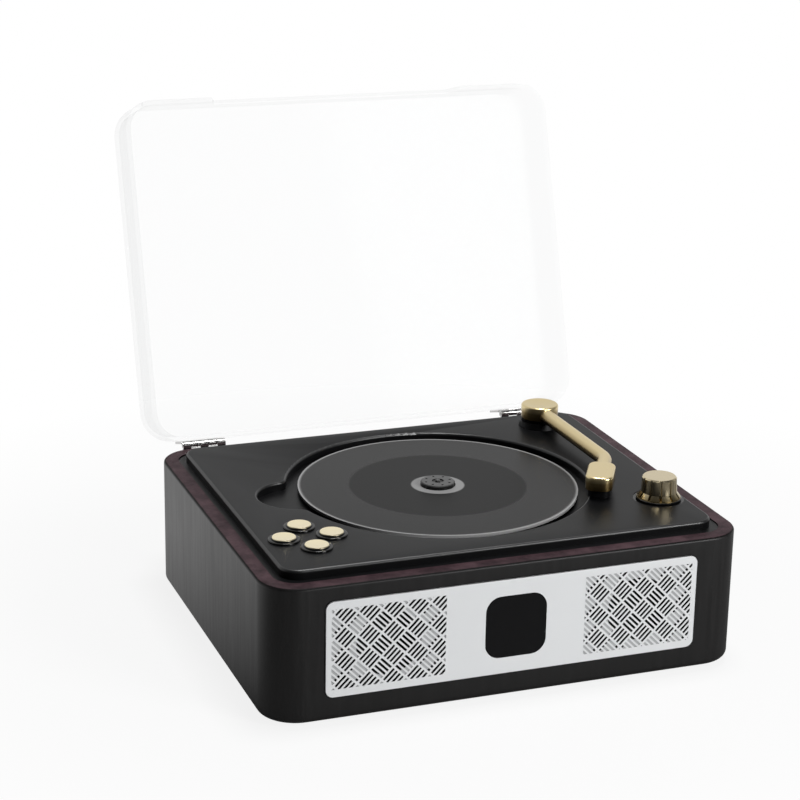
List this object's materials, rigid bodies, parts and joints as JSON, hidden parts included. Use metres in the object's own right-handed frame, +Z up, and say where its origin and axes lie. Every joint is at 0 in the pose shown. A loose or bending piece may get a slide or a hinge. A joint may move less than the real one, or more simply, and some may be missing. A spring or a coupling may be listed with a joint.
{
  "type": "desktop cd player",
  "caption": "Box-shaped disc player with a clear hinged lid, a pivoting arm, a knob, round buttons, woven-pattern grilles and a pick-up drive under the deck.",
  "frame": {"origin": "middle of the rubber foot ring, on the surface that the player stands on", "axes": "+X to the player's right as seen from the front, +Y to its back, +Z up"},
  "size_m": [0.205, 0.2469, 0.2078],
  "materials": {
    "cabinet_wood": "black stained veneer, satin",
    "base_board": "black painted board",
    "rubber": "matt",
    "steel_screw": "zinc plated",
    "steel_shaft": "ground and polished",
    "champagne_metal": "champagne anodised, satin",
    "smoked_window": "polished, smoked",
    "circuit_board": "solder mask",
    "black_steel": "black",
    "speaker_paper": "black pulp",
    "deck_plastic": "fine satin, moulded",
    "disc_plastic": "printed face and clear rims",
    "hub_plastic": "black",
    "motor_steel": "plain",
    "black_plastic": "moulded",
    "lens_glass": "coated",
    "gear_plastic": "acetal, natural",
    "black_gloss": "polished black",
    "gold_metal": "pale gold anodised, bright",
    "brass_bush": "turned",
    "clear_acrylic": "clear acrylic, polished",
    "hinge_steel": "bright plated"
  },
  "bodies": {
    "cabinet": {"cabinet_shell": "cabinet_wood", "base_plate": "base_board", "rubber_foot": "rubber", "base_screws": "steel_screw", "front_plate": "champagne_metal", "display_window": "smoked_window", "display_board": "circuit_board", "speaker_frames": "black_steel", "speaker_cones": "speaker_paper", "top_deck": "deck_plastic", "spindle_motor": "motor_steel", "pickup_chassis": "black_steel", "guide_rods": "steel_shaft", "chassis_dampers": "rubber", "deck_screws": "steel_screw", "gear_pin": "steel_shaft", "feed_motor": "motor_steel", "button_bezels": "black_gloss", "button_board": "circuit_board", "button_switches": "black_plastic", "knob_collar": "black_gloss", "potentiometer": "motor_steel", "potentiometer_nut": "steel_screw", "arm_bush": "brass_bush", "arm_collar": "black_gloss", "hinge_body_leaf_left": "hinge_steel", "hinge_body_leaf_right": "hinge_steel", "hinge_pins": "steel_shaft", "hinge_screws": "steel_screw", "main_board": "circuit_board", "rear_panel": "black_plastic", "power_inlet": "black_plastic", "audio_jack": "black_plastic"},
    "lid": {"lid_shell": "clear_acrylic", "hinge_lid_leaf_left": "hinge_steel", "hinge_lid_leaf_right": "hinge_steel"},
    "tonearm": {"arm_post": "gold_metal", "arm_pivot": "steel_shaft", "arm_clip": "steel_screw", "arm_tube": "gold_metal", "arm_head": "gold_metal", "arm_foot": "black_gloss"},
    "volume": {"volume_knob": "gold_metal", "potentiometer_shaft": "steel_shaft"},
    "play_key": {"play_button": "black_gloss", "play_button_cap": "gold_metal"},
    "back_key": {"back_button": "black_gloss", "back_button_cap": "gold_metal"},
    "next_key": {"next_button": "black_gloss", "next_button_cap": "gold_metal"},
    "stop_key": {"stop_button": "black_gloss", "stop_button_cap": "gold_metal"},
    "spindle": {"compact_disc": "disc_plastic", "spindle_hub": "hub_plastic", "hub_balls": "black_plastic", "spindle_shaft": "steel_shaft"},
    "sled": {"pickup_sled": "black_plastic", "objective_lens": "lens_glass"},
    "feed_wheel": {"feed_gear": "gear_plastic"},
    "pinion": {"feed_pinion": "gear_plastic"}
  },
  "joints": [
    {"name": "lid_close", "type": "hinge", "parent": "cabinet", "child": "lid", "pos_m": [0, 0.08735, 0.06], "axis": [1, 0, 0], "range_deg": [0, 108]},
    {"name": "tonearm_swing", "type": "hinge", "parent": "cabinet", "child": "tonearm", "pos_m": [0.0728, 0.0594, 0.0666], "axis": [0, 0, -1], "range_deg": [0, 25]},
    {"name": "volume_turn", "type": "hinge", "parent": "cabinet", "child": "volume", "pos_m": [0.0818, -0.0451, 0.0666], "axis": [0, 0, 1], "range_deg": [-150, 150]},
    {"name": "play_press", "type": "slide", "parent": "cabinet", "child": "play_key", "axis": [0, 0, -1], "range_m": [0, 0.001], "stiffness_N_per_m": 400, "springref_m": -0.0008},
    {"name": "back_press", "type": "slide", "parent": "cabinet", "child": "back_key", "axis": [0, 0, -1], "range_m": [0, 0.001], "stiffness_N_per_m": 400, "springref_m": -0.0008},
    {"name": "next_press", "type": "slide", "parent": "cabinet", "child": "next_key", "axis": [0, 0, -1], "range_m": [0, 0.001], "stiffness_N_per_m": 400, "springref_m": -0.0008},
    {"name": "stop_press", "type": "slide", "parent": "cabinet", "child": "stop_key", "axis": [0, 0, -1], "range_m": [0, 0.001], "stiffness_N_per_m": 400, "springref_m": -0.0008},
    {"name": "disc_spin", "type": "hinge", "parent": "cabinet", "child": "spindle", "pos_m": [0, 0.0015, 0.06], "axis": [0, 0, 1], "continuous": true},
    {"name": "sled_slide", "type": "slide", "parent": "cabinet", "child": "sled", "axis": [0, 1, 0], "range_m": [0, 0.035]},
    {"name": "feed_wheel_turn", "type": "hinge", "parent": "cabinet", "child": "feed_wheel", "pos_m": [0.0269, 0.0355, 0.05], "axis": [0, 0, 1], "range_deg": [-412, 3]},
    {"name": "pinion_turn", "type": "hinge", "parent": "cabinet", "child": "pinion", "pos_m": [0.0416, 0.0355, 0.05], "axis": [0, 0, 1], "range_deg": [-6, 824]}
  ],
  "couplings": [
    {"joint": "feed_wheel_turn", "follows": "sled_slide", "rad_per_m": -204.08},
    {"joint": "pinion_turn", "follows": "sled_slide", "rad_per_m": 408.16}
  ]
}
